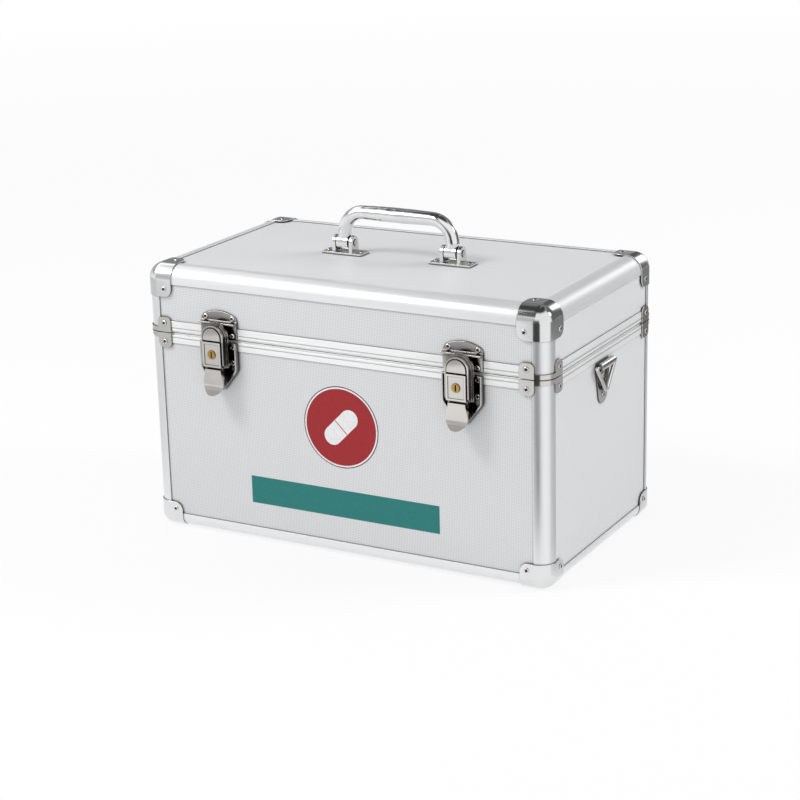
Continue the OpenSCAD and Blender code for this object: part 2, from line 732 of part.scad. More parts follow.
// Side rings. Drawn for the right end, with the knuckle along Y.
module ring_plate() color("lightgray") translate([side_face, 0, ring_z]) {
    difference() {
        union() {
            rotate([90, 0, 0]) translate([ring_u, 0, 0])
                cylinder(r = knuckle_r, h = knuckle_l, center = true);
            translate([0, -knuckle_l / 2, -knuckle_r - 1]) cube([plate_t, knuckle_l, knuckle_r + 1]);
        }
        rotate([90, 0, 0]) translate([ring_u, 0, 0])
            cylinder(r = wire_r + pin_play, h = knuckle_l + 2, center = true);
    }
    rotate([90, 0, 90]) linear_extrude(plate_t) {
        translate([0, -plate_drop + plate_end_r]) circle(plate_end_r);
        polygon([[-knuckle_l / 2, -knuckle_r], [knuckle_l / 2, -knuckle_r],
            [plate_end_r, -plate_drop + plate_end_r], [-plate_end_r, -plate_drop + plate_end_r]]);
    }
}

// A wire from one point (y, z) to another in the ring's own plane
module wire(from, to) translate([0, from[0], from[1]])
    rotate([atan2(to[1] - from[1], to[0] - from[0]), 0, 0]) rotate([-90, 0, 0])
        cylinder(r = wire_r, h = norm(to - from));

// The sides of the triangle run as tangents from the top bar to the lowest bend
module ring() color("silver") translate([side_face + ring_u, 0, ring_z]) {
    bend_z = ring_bend_r - ring_h;
    lean = ring_slant(ring_half);
    foot = [ring_bend_r * cos(lean), bend_z - ring_bend_r * sin(lean)];
    weld_r = wire_r * 1.05;
    wire([-ring_half, 0], [ring_half, 0]);
    both_sides() {
        translate([0, ring_half, 0]) sphere(weld_r);
        wire([ring_half, 0], foot);
        translate([0, foot[0], foot[1]]) sphere(weld_r);
    }
    translate([0, 0, bend_z]) rotate([90, 0, 90]) rotate(lean - 180)
        rotate_extrude(angle = 180 - 2 * lean) translate([ring_bend_r, 0]) circle(wire_r);
}

module right_ring_plate() ring_plate();
module left_ring_plate() mirror([1, 0, 0]) ring_plate();
module right_ring() ring();
module left_ring() mirror([1, 0, 0]) ring();

module ring_rivets() both_ends() translate([side_face + plate_t, 0, ring_z]) {
    translate([0, 0, -knuckle_r - 6]) rotate([0, 90, 0]) rivet();
    translate([0, 0, -plate_drop + plate_end_r - 2]) rotate([0, 90, 0]) rivet();
}

// Rear hinges. Drawn in (w outwards from the back of the profiles, z from the seam).
module leaf_section(rim_h) polygon([
    [0, -leaf_start], [leaf_t, -leaf_start], [leaf_t, -rim_h - edge_gap - leaf_t],
    [leaf_t - panel_in, -rim_h - edge_gap - leaf_t - panel_in], [leaf_t - panel_in, -leaf_h],
    [-panel_in, -leaf_h], [-panel_in, -rim_h - edge_gap], [0, -rim_h - edge_gap]]);

// The sheet that curls from the leaf round the pin
module curl_section() difference() {
    union() {
        translate([hinge_off, 0]) circle(barrel_r);
        polygon([[0, -leaf_start - tiny], [leaf_t, -leaf_start - tiny], [hinge_off, -barrel_r + tiny],
            [hinge_off, 0], [hinge_off - barrel_r, 0], [0.2, -seam_gap]]);
    }
    translate([hinge_off, 0]) circle(hinge_pin_r + pin_play);
}

module leaf(rim_h, first) {
    along_x(hinge_l) leaf_section(rim_h);
    pitch = hinge_l / knuckles;
    for (i = [first:2:knuckles - 1]) translate([(i + 0.5) * pitch - hinge_l / 2, 0, 0])
        along_x(pitch - knuckle_gap) curl_section();
}

module hinge_place() both_ends() translate([hinge_x, face_y, seam_z]) children();
module hinge_lower_leaves() color("lightgray") hinge_place() leaf(rim_body_h, 0);
module hinge_upper_leaves() color("lightgray") hinge_place() mirror([0, 0, 1]) leaf(rim_lid_h, 1);
module hinge_pins() color("dimgray") hinge_place() translate([0, hinge_off, 0]) rotate([0, 90, 0])
    cylinder(r = hinge_pin_r, h = hinge_l + 1, center = true);

leaf_rivet_z = (rim_lid_h + leaf_h + leaf_t) / 2 + 0.5;
module leaf_rivets() hinge_place() for (x = [-hinge_l / 3, 0, hinge_l / 3])
    translate([x, leaf_t - panel_in, -leaf_rivet_z]) rotate([-90, 0, 0]) rivet();

module body_rivets() color("gray") {
    each_corner() corner_rivets_body();
    latch_rivets_body();
    ring_rivets();
    leaf_rivets();
}

// Handle
module bracket_ear() difference() {
    union() {
        rotate([0, 90, 0]) cylinder(r = eye_r - 0.6, h = ear_t);
        translate([0, -eye_r + 0.6, top_face + bracket_t - handle_pivot_z - tiny])
            cube([ear_t, 2 * eye_r - 1.2, handle_pivot_z - top_face - bracket_t + tiny]);
    }
    rotate([0, 90, 0]) cylinder(r = handle_pin_r + pin_play, h = 3 * ear_t, center = true);
}

module handle_brackets() color("lightgray") both_ends() translate([handle_span / 2, 0, 0]) {
    translate([-bracket_l / 2, -bracket_w / 2, top_face]) cube([bracket_l, bracket_w, bracket_t]);
    both_ends() translate([ear_in, 0, handle_pivot_z]) bracket_ear();
}

module handle_pins() color("dimgray") both_ends()
    translate([handle_span / 2, 0, handle_pivot_z]) rotate([0, 90, 0])
        cylinder(r = handle_pin_r, h = 2 * (ear_in + ear_t) + 1.2, center = true);

module handle() color("silver") {
    straight = handle_span / 2 - bend_r;
    swell_r = (pow(straight, 2) + pow(grip_swell, 2)) / (2 * grip_swell);
    translate([0, 0, handle_z]) rotate([0, 90, 0]) rotate_extrude() intersection() {
        translate([handle_r + grip_swell - swell_r, 0]) circle(swell_r, $fn = 720);
        translate([0, -straight]) square([far, 2 * straight]);
    }
    both_ends() {
        translate([straight, 0, handle_z - bend_r]) rotate([90, 0, 0])
            rotate_extrude(angle = 90) translate([bend_r, 0]) circle(handle_r);
        difference() {
            union() {
                translate([handle_span / 2, 0, handle_pivot_z])
                    cylinder(r = handle_r, h = handle_rise - bend_r);
                translate([handle_span / 2, 0, handle_pivot_z]) rotate([0, 90, 0])
                    cylinder(r = eye_r, h = 2 * handle_r - 0.8, center = true);
            }
            translate([handle_span / 2, 0, handle_pivot_z]) rotate([0, 90, 0])
                cylinder(r = handle_pin_r + pin_play, h = 4 * handle_r, center = true);
        }
    }
}

bracket_rivet = bracket_l / 2 - rivet_r - 0.8;
module bracket_rivets() both_ends() translate([handle_span / 2, 0, top_face + bracket_t])
    both_ends() translate([bracket_rivet, 0, 0]) rivet();

module lid_rivets() color("gray") {
    each_corner() corner_rivets_lid();
    latch_rivets_lid();
    translate([0, 0, 2 * seam_z]) mirror([0, 0, 1]) leaf_rivets();
    bracket_rivets();
}

place() front_panel();
place() back_panel();
place() left_panel();
place() right_panel();
place() bottom_panel();
place() body_posts();
place() bottom_rails();
place() body_rim();
place() bottom_caps();
place() body_braces();
place() body_lining();
place() body_rivets();
place() hinge_lower_leaves();
place() hinge_pins();
place() left_latch_base();
place() right_latch_base();
place() lever_pin(-1);  // left_lever_pin
place() lever_pin(1);  // right_lever_pin
place() left_ring_plate();
place() right_ring_plate();
place() lid_front_panel();
place() lid_back_panel();
place() lid_left_panel();
place() lid_right_panel();
place() top_panel();
place() lid_posts();
place() top_rails();
place() lid_rim();
place() top_caps();
place() lid_braces();
place() lid_lining();
place() lid_rivets();
place() hinge_upper_leaves();
place() left_strike();
place() right_strike();
place() handle_brackets();
place() handle_pins();
place() handle();
place() latch_place(-1) lever();  // left_lever
place() latch_place(1) lever();  // right_lever
place() bail_pin(-1);  // left_bail_pin
place() bail_pin(1);  // right_bail_pin
place() latch_place(-1) bail();  // left_bail
place() latch_place(1) bail();  // right_bail
place() latch_place(-1) lock_plug();  // left_lock_plug
place() latch_place(1) lock_plug();  // right_lock_plug
place() left_ring();
place() right_ring();
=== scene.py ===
# %% [markdown]
# # A medicine storage box with an aluminium frame
#
# The box is a case of light grey boards held in aluminium edge profiles. Plated
# caps close the corners, plated braces wrap the posts at the seam, and two key
# latches draw the lid down. The solids come ready made and exact from the CAD
# model. This lesson adds what a camera sees besides: rounded sheet edges,
# finishes, prints, a studio and a camera.
#
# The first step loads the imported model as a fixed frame. Every later piece is
# placed in the frame's own coordinates.

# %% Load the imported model
import json
import math

import bmesh
import bpy
from mathutils import Matrix, Vector


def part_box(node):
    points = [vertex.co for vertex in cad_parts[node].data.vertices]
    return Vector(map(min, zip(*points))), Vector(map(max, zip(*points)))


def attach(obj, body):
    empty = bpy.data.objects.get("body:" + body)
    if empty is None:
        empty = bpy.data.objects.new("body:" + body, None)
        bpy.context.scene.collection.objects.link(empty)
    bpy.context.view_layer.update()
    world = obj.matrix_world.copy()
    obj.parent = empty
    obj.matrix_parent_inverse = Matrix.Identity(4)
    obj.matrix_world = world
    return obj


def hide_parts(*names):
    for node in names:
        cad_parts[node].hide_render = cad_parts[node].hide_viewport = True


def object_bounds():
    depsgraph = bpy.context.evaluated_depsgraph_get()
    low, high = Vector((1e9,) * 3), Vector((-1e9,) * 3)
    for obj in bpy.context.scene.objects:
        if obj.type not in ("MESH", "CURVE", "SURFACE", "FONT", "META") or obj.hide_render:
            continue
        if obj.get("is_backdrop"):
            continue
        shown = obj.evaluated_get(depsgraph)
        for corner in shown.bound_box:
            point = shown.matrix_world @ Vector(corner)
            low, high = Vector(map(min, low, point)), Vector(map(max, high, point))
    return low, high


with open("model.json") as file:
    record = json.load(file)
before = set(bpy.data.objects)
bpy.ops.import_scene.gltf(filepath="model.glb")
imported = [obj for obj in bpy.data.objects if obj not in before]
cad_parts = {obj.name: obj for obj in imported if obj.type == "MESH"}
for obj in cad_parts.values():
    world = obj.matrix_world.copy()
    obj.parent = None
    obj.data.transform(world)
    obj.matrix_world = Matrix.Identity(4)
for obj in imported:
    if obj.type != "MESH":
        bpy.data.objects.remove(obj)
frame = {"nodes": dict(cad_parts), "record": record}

MM = 0.001
nodes = frame["nodes"]
body_of = {node: body for body, members in frame["record"]["behaviour"]["bodies"].items()
           for node in members}
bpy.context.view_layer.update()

# %% [markdown]
# The prints, the finishes of the rails and the studio are set out from a few
# planes of the case: the outside of the front board, the middle line of the
# case from front to back, the seam between the body and the lid, and the outer
# face of the right posts.

# %% Planes that the pieces are set from
front_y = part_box("front_panel")[0].y
middle_y = (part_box("front_panel")[0].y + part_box("back_panel")[1].y) / 2
seam_z = (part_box("body_posts")[1].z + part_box("lid_posts")[0].z) / 2
post_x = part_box("body_posts")[1].x
print("front board at y", round(front_y / MM, 2), "mm, seam at z", round(seam_z / MM, 2), "mm")

# %% [markdown]
# The camera stands about where the photographer stood. Its place was worked out
# from the straight edges of the case: their vanishing directions give the
# bearing, the rise and the roll, and the known length, depth and height give
# the distance. It fits best on the front of the case, and less well towards the
# back. The lens is long, so the case keeps nearly parallel edges. The frame is
# 800 by 800, and the lens is given as its focal length in those pixels, with
# the pixel that its axis goes through.
#
# A bearing is counted in degrees from the front towards the right, and a rise
# in degrees over the floor. The lamps and the studio use them too.

# %% The camera
AIM = Vector((0, middle_y, 110 * MM))
BEARING, RISE, ROLL, DISTANCE = 29.17, 17.10, math.radians(-1.47), 1.7034
FRAME_PX, FOCAL_PX, CENTRE_PX = 800, 2104.7, (402.0, 388.4)
SENSOR_MM = 36


def direction(bearing, rise):
    a, e = math.radians(bearing), math.radians(rise)
    return Vector((math.sin(a) * math.cos(e), -math.cos(a) * math.cos(e), math.sin(e)))


def around(bearing, rise, distance, centre=AIM):
    return centre + distance * direction(bearing, rise)


away = direction(BEARING, RISE)
level = Vector((math.cos(math.radians(BEARING)), math.sin(math.radians(BEARING)), 0))
upright = away.cross(level)
across = level * math.cos(ROLL) + upright * math.sin(ROLL)
above = upright * math.cos(ROLL) - level * math.sin(ROLL)

lens = bpy.data.cameras.new("photo_camera")
lens.sensor_width = SENSOR_MM
lens.lens = FOCAL_PX / FRAME_PX * SENSOR_MM
lens.shift_x = (FRAME_PX / 2 - CENTRE_PX[0]) / FRAME_PX
lens.shift_y = (CENTRE_PX[1] - FRAME_PX / 2) / FRAME_PX
lens.clip_start, lens.clip_end = 0.05, 30
camera = bpy.data.objects.new("photo_camera", lens)
camera.matrix_world = Matrix.Translation(around(BEARING, RISE, DISTANCE)) @ Matrix(
    (across, above, away)).transposed().to_4x4()
bpy.context.scene.collection.objects.link(camera)
bpy.context.scene.camera = camera
print("camera at", [round(v, 3) for v in camera.matrix_world.translation],
      "lens", round(lens.lens, 1))

# %% [markdown]
# Shader maths is easier to read as an expression than as a drawing of nodes.
# This small class wraps one output socket. An operator on it adds the Math node
# that does the sum, and its reflected forms let a number stand first, as in
# `1 - mask`. `node` adds any other node: its settings are made first, and then
# each named socket is given a number, a colour or a link.

# %% A wrapper that turns Python expressions into shader nodes
class Wire:
    def __init__(self, tree, socket=None):
        self.tree, self.socket = tree, socket

    def node(self, kind, settings=None, sockets=None, out=0):
        made = self.tree.nodes.new("ShaderNode" + kind)
        for name, value in (settings or {}).items():
            setattr(made, name, value)
        for name, value in (sockets or {}).items():
            if isinstance(value, Wire):
                self.tree.links.new(value.socket, made.inputs[name])
            else:
                made.inputs[name].default_value = value
        return Wire(self.tree, made.outputs[out])

    def math(self, operation, *values):
        return self.node("Math", {"operation": operation}, dict(enumerate((self, *values))))

    def __add__(self, other): return self.math("ADD", other)
    def __sub__(self, other): return self.math("SUBTRACT", other)
    def __mul__(self, other): return self.math("MULTIPLY", other)
    def __gt__(self, other): return self.math("GREATER_THAN", other)
    def __lt__(self, other): return self.math("LESS_THAN", other)

    __radd__, __rmul__ = __add__, __mul__

    def __rsub__(self, other):
        return self.node("Math", {"operation": "SUBTRACT"}, {0: other, 1: self})

    def sin(self): return self.math("SINE")
    def abs(self): return self.math("ABSOLUTE")

    def ramp(self, low, high, to_low=0.0, to_high=1.0):
        """A straight ramp between two values, level outside them."""
        return self.node("MapRange", {"clamp": True},
                         {"Value": self, "From Min": low, "From Max": high,
                          "To Min": to_low, "To Max": to_high})

    def blend(self, colour_a, colour_b):
        """This value mixes one colour into another. The colours of a Mix node are its
        inputs 6 and 7 and its output 2."""
        return self.node("Mix", {"data_type": "RGBA"},
                         {0: self, 6: rgba(colour_a), 7: rgba(colour_b)}, out=2)


def rgba(colour):
    return colour if isinstance(colour, Wire) else (*colour, 1)


def times(share, colour):
    return [share * channel for channel in colour]

# %% [markdown]
# Every finish starts from the same few things: a Principled shader and the
# place of the shaded point on the case. Object coordinates are used for that
# place, because each piece keeps the frame's own origin, so a pattern stays on
# its piece when the lid or a latch moves.

# %% A new finish with its position and its shader
def finish(name, **constants):
    material = bpy.data.materials.new(name)
    material.use_nodes = True
    tree = material.node_tree
    tree.nodes.clear()
    shader = tree.nodes.new("ShaderNodeBsdfPrincipled")
    output = tree.nodes.new("ShaderNodeOutputMaterial")
    tree.links.new(shader.outputs[0], output.inputs[0])
    for socket, value in constants.items():
        shader.inputs[socket.replace("_", " ")].default_value = value
    place = Wire(tree).node("TexCoord", out="Object")
    return material, shader, place


def feed(shader, socket, wire):
    wire.tree.links.new(wire.socket, shader.inputs[socket])


def axes(place):
    """The x, y and z of a position, in metres."""
    split = place.tree.nodes.new("ShaderNodeSeparateXYZ")
    place.tree.links.new(place.socket, split.inputs[0])
    return [Wire(place.tree, socket) for socket in split.outputs]

# %% [markdown]
# The finishes share a few patterns. Noise gives clouds, grain and, with its
# position scaled apart along the axes, streaks. `open_air` tells open ground
# from a joint: it looks how much of the space within a few millimetres is
# free, so that shade can be painted where two pieces meet.

# %% Patterns that the finishes are made of
def stretched(place, x, y, z):
    """The position, scaled apart along each axis, for streaks."""
    return place.node("VectorMath", {"operation": "MULTIPLY"}, {0: place, 1: (x, y, z)})


def noise(place, scale, detail=2.0):
    """Soft noise, with about `scale` cells to one unit of the position."""
    return place.node("TexNoise", {"noise_dimensions": "3D"},
                      {"Vector": place, "Scale": scale, "Detail": detail})


def open_air(place, reach, shut=0.5, free=0.92):
    """0 in a joint and 1 on open ground, by what stands within `reach` mm."""
    # Its value steers painted shade into joints and narrow places.
    air = place.node("AmbientOcclusion", {"samples": 8}, {"Distance": reach * MM}, out="AO")
    return air.ramp(shut, free)


def bump(height, depth, strength=1.0, under=None):
    sockets = {"Height": height, "Distance": depth, "Strength": strength}
    if under is not None:
        sockets["Normal"] = under
    return height.node("Bump", None, sockets)

# %% [markdown]
# The boards are fibre board with a thin grey plastic face, rolled with a fine
# lattice of raised diamonds. At arm's length the lattice is only a shimmer. Two
# sine waves that run aslant, at 45 degrees to the upright and square to one
# another, give such a lattice when they are multiplied. It drives both the
# relief and a slight change of tone, which is painted shade in the grooves.
# On an upright face the waves run along height and width, and on a level face
# along width and depth. Where a board dips into its profile, shade is painted
# into the joint.

# %% The embossed boards
LATTICE = 2.0 * MM
EMBOSS = 0.10 * MM
BOARD_SHADE_REACH, PAINTED_SHADE_SHARE = 2.2, 0.3


def lattice(place, lies_flat):
    x, y, z = axes(place)
    one, two = (x + y, x - y) if lies_flat else (x + y + z, x + y - z)
    turn = 2 * math.pi / (LATTICE * math.sqrt(2))
    return (one * turn).sin() * (two * turn).sin() * 0.5 + 0.5


def board_finish(name, light, shade, lies_flat=False):
    material, shader, place = finish(name, Roughness=0.42, IOR=1.46)
    diamonds = lattice(place, lies_flat)
    cloud = noise(place, 9.0, 4.0)
    grain = noise(place, 2600.0)
    # The lattice tone is painted shade in its grooves.
    tone = (diamonds * 0.9 + cloud * 0.1 + grain * 0.3).ramp(0.15, 1.15)
    # Painted shade in the joint with the profile.
    feed(shader, "Base Color", open_air(place, BOARD_SHADE_REACH).blend(
        times(PAINTED_SHADE_SHARE, shade), tone.blend(shade, light)))
    feed(shader, "Roughness", (cloud + grain).ramp(0.7, 1.3, 0.36, 0.5))
    feed(shader, "Normal", bump(diamonds * 0.8 + grain * 0.2, EMBOSS, 0.8))
    return material


board_upright = board_finish("board_upright", (0.84, 0.845, 0.86), (0.54, 0.545, 0.56))
board_level = board_finish("board_level", (0.82, 0.825, 0.84), (0.58, 0.585, 0.60), lies_flat=True)
print("boards:", board_upright.name, board_level.name)

# %% [markdown]
# The edge profiles are extruded aluminium, brushed along their length and then
# anodised to a satin silver. The streaks are noise that is drawn out more than
# a hundred times along the metal. A post runs upright, but the rails run along
# the case at the front and back and across it at the ends, so for those the
# streaks turn where the end rails begin. The clear skin of the anodising makes
# the metal paler and less of a mirror, and `bare_metal` says how much of the
# bare metal still shows.
#
# The rims of body and lid carry one fine pressed line each, at the same height
# under and over the seam. It is too shallow for geometry, so it is a line of
# painted shade with a little relief. Joints with the boards and the caps get
# painted shade here too.

# %% Satin anodised aluminium
ANODISED, RIM_TONE = (0.86, 0.865, 0.875), (0.95, 0.955, 0.96)
END_RAIL = 14 * MM
PROFILE_SHADE_REACH = 1.3
RIM_LINE, LINE_HALF, LINE_SOFT = 3.9 * MM, 0.25 * MM, 0.75 * MM


def streaks_along(place, upright_metal):
    fine, long_way = 1900.0, 14.0
    if upright_metal:
        return noise(stretched(place, fine, fine, long_way), 1.0, 3.0)
    x, _, _ = axes(place)
    at_end = x.abs() > post_x - END_RAIL
    along_x = noise(stretched(place, long_way, fine, fine), 1.0, 3.0)
    along_y = noise(stretched(place, fine, long_way, fine), 1.0, 3.0)
    return along_x * (1 - at_end) + along_y * at_end


def profile_finish(name, upright_metal, bare_metal, tone=ANODISED, lined=False):
    material, shader, place = finish(name, Metallic=bare_metal, Roughness=0.42)
    streaks = streaks_along(place, upright_metal)
    handled = noise(place, 22.0, 5.0)
    colour = (streaks * 0.7 + handled * 0.3).ramp(0.3, 0.7).blend(times(0.93, tone), tone)
    relief = bump(streaks, 0.012 * MM, 0.5)
    if lined:
        height = axes(place)[2]
        # The pressed line is painted shade, with a little relief.
        line = ((height - seam_z).abs() - RIM_LINE).abs().ramp(LINE_HALF, LINE_SOFT)
        colour = line.blend(times(0.55, tone), colour)
        relief = bump(line, 0.25 * MM, 1.0, under=relief)
    # Painted shade in the joints with boards and caps.
    feed(shader, "Base Color", open_air(place, PROFILE_SHADE_REACH).blend(
        times(PAINTED_SHADE_SHARE, tone), colour))
    feed(shader, "Roughness", (streaks * 0.6 + handled * 0.4).ramp(0.3, 0.7, 0.32, 0.43))
    feed(shader, "Normal", relief)
    return material


profile_upright = profile_finish("profile_upright", upright_metal=True, bare_metal=0.88)
profile_level = profile_finish("profile_level", upright_metal=False, bare_metal=0.45)
profile_rim = profile_finish("profile_rim", upright_metal=False, bare_metal=0.40,
                             tone=RIM_TONE, lined=True)
print("profiles:", profile_upright.name, profile_level.name, profile_rim.name)

# %% [markdown]
# The hardware is pressed steel with a bright plating. Plating is never as flat
# as glass: it follows the grain of the steel and carries faint polishing lines
# and finger marks. One function makes all of these finishes. It takes the tone
# of the plating, how rough its mirror is, how deep the sheet waves in
# millimetres, and the reach in millimetres within which shade is painted into
# narrow places, as between the plates of a latch. Caps and bars are the
# whitest, the sheets of the latches are a warmer grey, the braces a darker grey
# as painted shade, and the hollow in the middle of each rivet is painted nearly
# black as shade.

# %% Bright plated steel
def plated(name, tone, mirror, wave, shade_reach=None):
    material, shader, place = finish(name, Metallic=1.0, Roughness=mirror)
    marks = noise(place, 60.0, 6.0)
    lines = noise(stretched(place, 900.0, 900.0, 120.0), 1.0, 2.0)
    colour = marks.ramp(0.35, 0.65).blend(times(0.95, tone), tone)
    # Painted shade in narrow places, down to nearly black.
    if shade_reach:
        colour = open_air(place, shade_reach, 0.45, 0.95).blend(times(0.05, tone), colour)
    feed(shader, "Base Color", colour)
    feed(shader, "Roughness", (marks * 0.7 + lines * 0.3).ramp(
        0.35, 0.65, mirror * 0.7, mirror * 1.5))
    feed(shader, "Normal", bump(noise(place, 130.0) * 0.8 + lines * 0.2, wave * MM, 0.5))
    return material


chrome_cap = plated("chrome_cap", (0.78, 0.785, 0.79), 0.10, 0.03)
chrome_bar = plated("chrome_bar", (0.84, 0.84, 0.84), 0.05, 0.03)
nickel_sheet = plated("nickel_sheet", (0.70, 0.68, 0.65), 0.14, 0.02, shade_reach=14)
nickel_rivet = plated("nickel_rivet", (0.80, 0.79, 0.77), 0.10, 0.02, shade_reach=2)
# Painted shade for the hollow of each rivet head, its walls and its floor.
pin_end = plated("pin_end", (0.07, 0.07, 0.07), 0.45, 0.02)
# The braces get a darker grey than the latch sheets: painted shade.
nickel_small = plated("nickel_small", (0.66, 0.645, 0.62), 0.13, 0.01, shade_reach=1.6)
nickel_bracket = plated("nickel_bracket", (0.80, 0.79, 0.775), 0.12, 0.01, shade_reach=1.6)
steel_pin = plated("steel_pin", (0.58, 0.58, 0.58), 0.28, 0.02, shade_reach=4)
lock_brass = plated("lock_brass", (0.50, 0.31, 0.10), 0.2, 0.03, shade_reach=1.6)
print("finishes so far:", len(bpy.data.materials))

# %% [markdown]
# Inside, both halves are lined with a thin dark foam. Foam is a matt skin full
# of tiny pores, so a cell pattern is pressed into it, and its tone changes with
# the cells and with a soft cloud.

# %% Dark foam lining
def foam_finish():
    material, shader, place = finish("foam", Roughness=0.95)
    pores = place.node("TexVoronoi", {"feature": "F1"}, {"Vector": place, "Scale": 900.0})
    cloud = noise(place, 35.0, 4.0)
    feed(shader, "Base Color", (pores * 0.8 + cloud * 0.5).ramp(0.3, 0.9).blend(
        (0.022, 0.023, 0.026), (0.07, 0.072, 0.078)))
    feed(shader, "Normal", bump(pores, 0.25 * MM, 0.8))
    return material


foam = foam_finish()
print("lining:", foam.name)

# %% [markdown]
# A CAD sheet has knife edges, and a real pressing never does: shears and dies
# leave a small radius that catches a thin line of light. Those lines are most of
# what the eye reads as metal. For each sheet or profile a copy of its mesh is
# cleaned of flat triangles and given a narrow Bevel, and the copy then stands
# for the solid. Curved faces stay smooth, because the Bevel only takes edges
# that are sharper than a set angle.
#
# Smooth shading would bend the light at the rim of a flat face, and a polished
# plate shows that at once. A Weighted Normal modifier lets the large faces
# decide at each corner, so flat ones look flat and the rounding takes the turn.

# %% Rounded edges for pressings and profiles
WELD, COPLANAR, SHARP = 0.004 * MM, math.radians(0.6), math.radians(35.0)
BEVEL_STEPS = 2


def rounded(node, material, radius):
    mesh = nodes[node].data.copy()
    mesh.name = node + "_rounded"
    work = bmesh.new()
    work.from_mesh(mesh)
    bmesh.ops.remove_doubles(work, verts=work.verts, dist=WELD)
    bmesh.ops.dissolve_limit(work, angle_limit=COPLANAR, use_dissolve_boundaries=False,
                             verts=work.verts, edges=work.edges)
    for face in work.faces:
        face.smooth = True
    work.to_mesh(mesh)
    work.free()
    mesh.materials.clear()
    mesh.materials.append(material)
    piece = bpy.data.objects.new(node + "_rounded", mesh)
    bpy.context.scene.collection.objects.link(piece)
    edge = piece.modifiers.new("edge", "BEVEL")
    edge.width, edge.segments = radius * MM, BEVEL_STEPS
    edge.limit_method, edge.angle_limit, edge.use_clamp_overlap = "ANGLE", SHARP, True
    shading = piece.modifiers.new("level", "WEIGHTED_NORMAL")
    shading.mode, shading.weight, shading.keep_sharp = "FACE_AREA", 50, True
    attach(piece, body_of[node])
    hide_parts(node)
    print(node, "rounded:", len(mesh.polygons), "faces")

# %% [markdown]
# Each row names the solids, their finish, the radius in millimetres and the
# material slot of the record.

# %% The pieces with rounded edges
ROUNDED = [
    (("body_posts", "lid_posts"), profile_upright, 0.25, "profile"),
    (("top_rails", "bottom_rails"), profile_level, 0.25, "profile"),
    (("body_rim", "lid_rim"), profile_rim, 0.25, "profile"),
    (("top_caps", "bottom_caps"), chrome_cap, 0.3, "cap_chrome"),
    (("body_braces", "lid_braces"), nickel_small, 0.45, "nickel_plate"),
    (("handle_brackets",), nickel_bracket, 0.45, "nickel_plate"),
    (("left_latch_base", "right_latch_base", "left_strike", "right_strike"),
     nickel_sheet, 0.3, "nickel_plate"),
    (("left_lever", "right_lever", "left_bail", "right_bail"), nickel_sheet, 0.28, "nickel_plate"),
    (("left_ring_plate", "right_ring_plate"), nickel_sheet, 0.25, "nickel_plate"),
    (("hinge_lower_leaves", "hinge_upper_leaves"), nickel_sheet, 0.25, "nickel_plate"),
    (("left_lock_plug", "right_lock_plug"), lock_brass, 0.15, "lock_brass"),
]
for names, material, radius, slot in ROUNDED:
    for name in names:
        rounded(name, material, radius)

# %% [markdown]
# Some solids are right as they are: boards whose edges lie in slots, the
# linings, turned pins, the bent bar of the handle and the rings. They keep
# their meshes and only get a finish.

# %% Finishes on the CAD solids themselves
def dress(names, material):
    for name in names:
        solid = nodes[name]
        for held in solid.material_slots:
            held.material = material
        if not solid.material_slots:
            solid.data.materials.append(material)
    print(material.name, "on", len(names), "solids")


flat_boards = ["top_panel", "bottom_panel"]
dress([n for n in nodes if n.endswith("panel") and n not in flat_boards], board_upright)
dress(flat_boards, board_level)
dress(["body_lining", "lid_lining"], foam)
dress(["handle", "left_ring", "right_ring"], chrome_bar)
dress([n for n in nodes if n.endswith("pin") or n.endswith("pins")], steel_pin)

# %% [markdown]
# The rivets are blind rivets. One is set from outside: a pin is drawn through
# it until the pin snaps off, so each head is a low dome with a hollow in the
# middle, painted dark as shade. The CAD solids give the place of every head. To read these, the
# mesh of all heads is first taken apart into its loose parts. Corners at the
# same place count as one, because faces that meet at an edge of a solid don't
# share their corners.

# %% The loose parts of a mesh
SAME_PLACE = 0.002 * MM


def loose_parts(mesh):
    """The corners of each separate piece of a mesh, as lists of points."""
    near = [[] for _ in mesh.vertices]
    for edge in mesh.edges:
        a, b = edge.vertices
        near[a].append(b)
        near[b].append(a)
    welded = {}
    for vertex in mesh.vertices:
        welded.setdefault(tuple(round(c / SAME_PLACE) for c in vertex.co), []).append(vertex.index)
    for same in welded.values():
        for other in same[1:]:
            near[same[0]].append(other)
            near[other].append(same[0])
    seen, parts = set(), []
    for start in range(len(mesh.vertices)):
        if start in seen:
            continue
        seen.add(start)
        queue, part = [start], []
        while queue:
            here = queue.pop()
            part.append(mesh.vertices[here].co)
            fresh = [other for other in near[here] if other not in seen]
            seen.update(fresh)
            queue.extend(fresh)
        parts.append(part)
    return parts

# %% [markdown]
# The shortest side of a loose part tells along which axis the head faces, and
# its place on the case tells which way. A turned head with a hollow takes its
# place. Its outline goes from the rim over the dome to the floor of the hollow,
# each point as a share of the head's radius and of its height.

# %% Blind rivets with hollow heads
HEAD = [(1.0, 0.0), (1.0, 0.12), (0.95, 0.38), (0.85, 0.68), (0.72, 0.88), (0.62, 0.94),
        (0.55, 0.86), (0.53, 0.30), (0.0, 0.25)]
HOLLOW_FROM = 6
HEAD_SIDES = 32


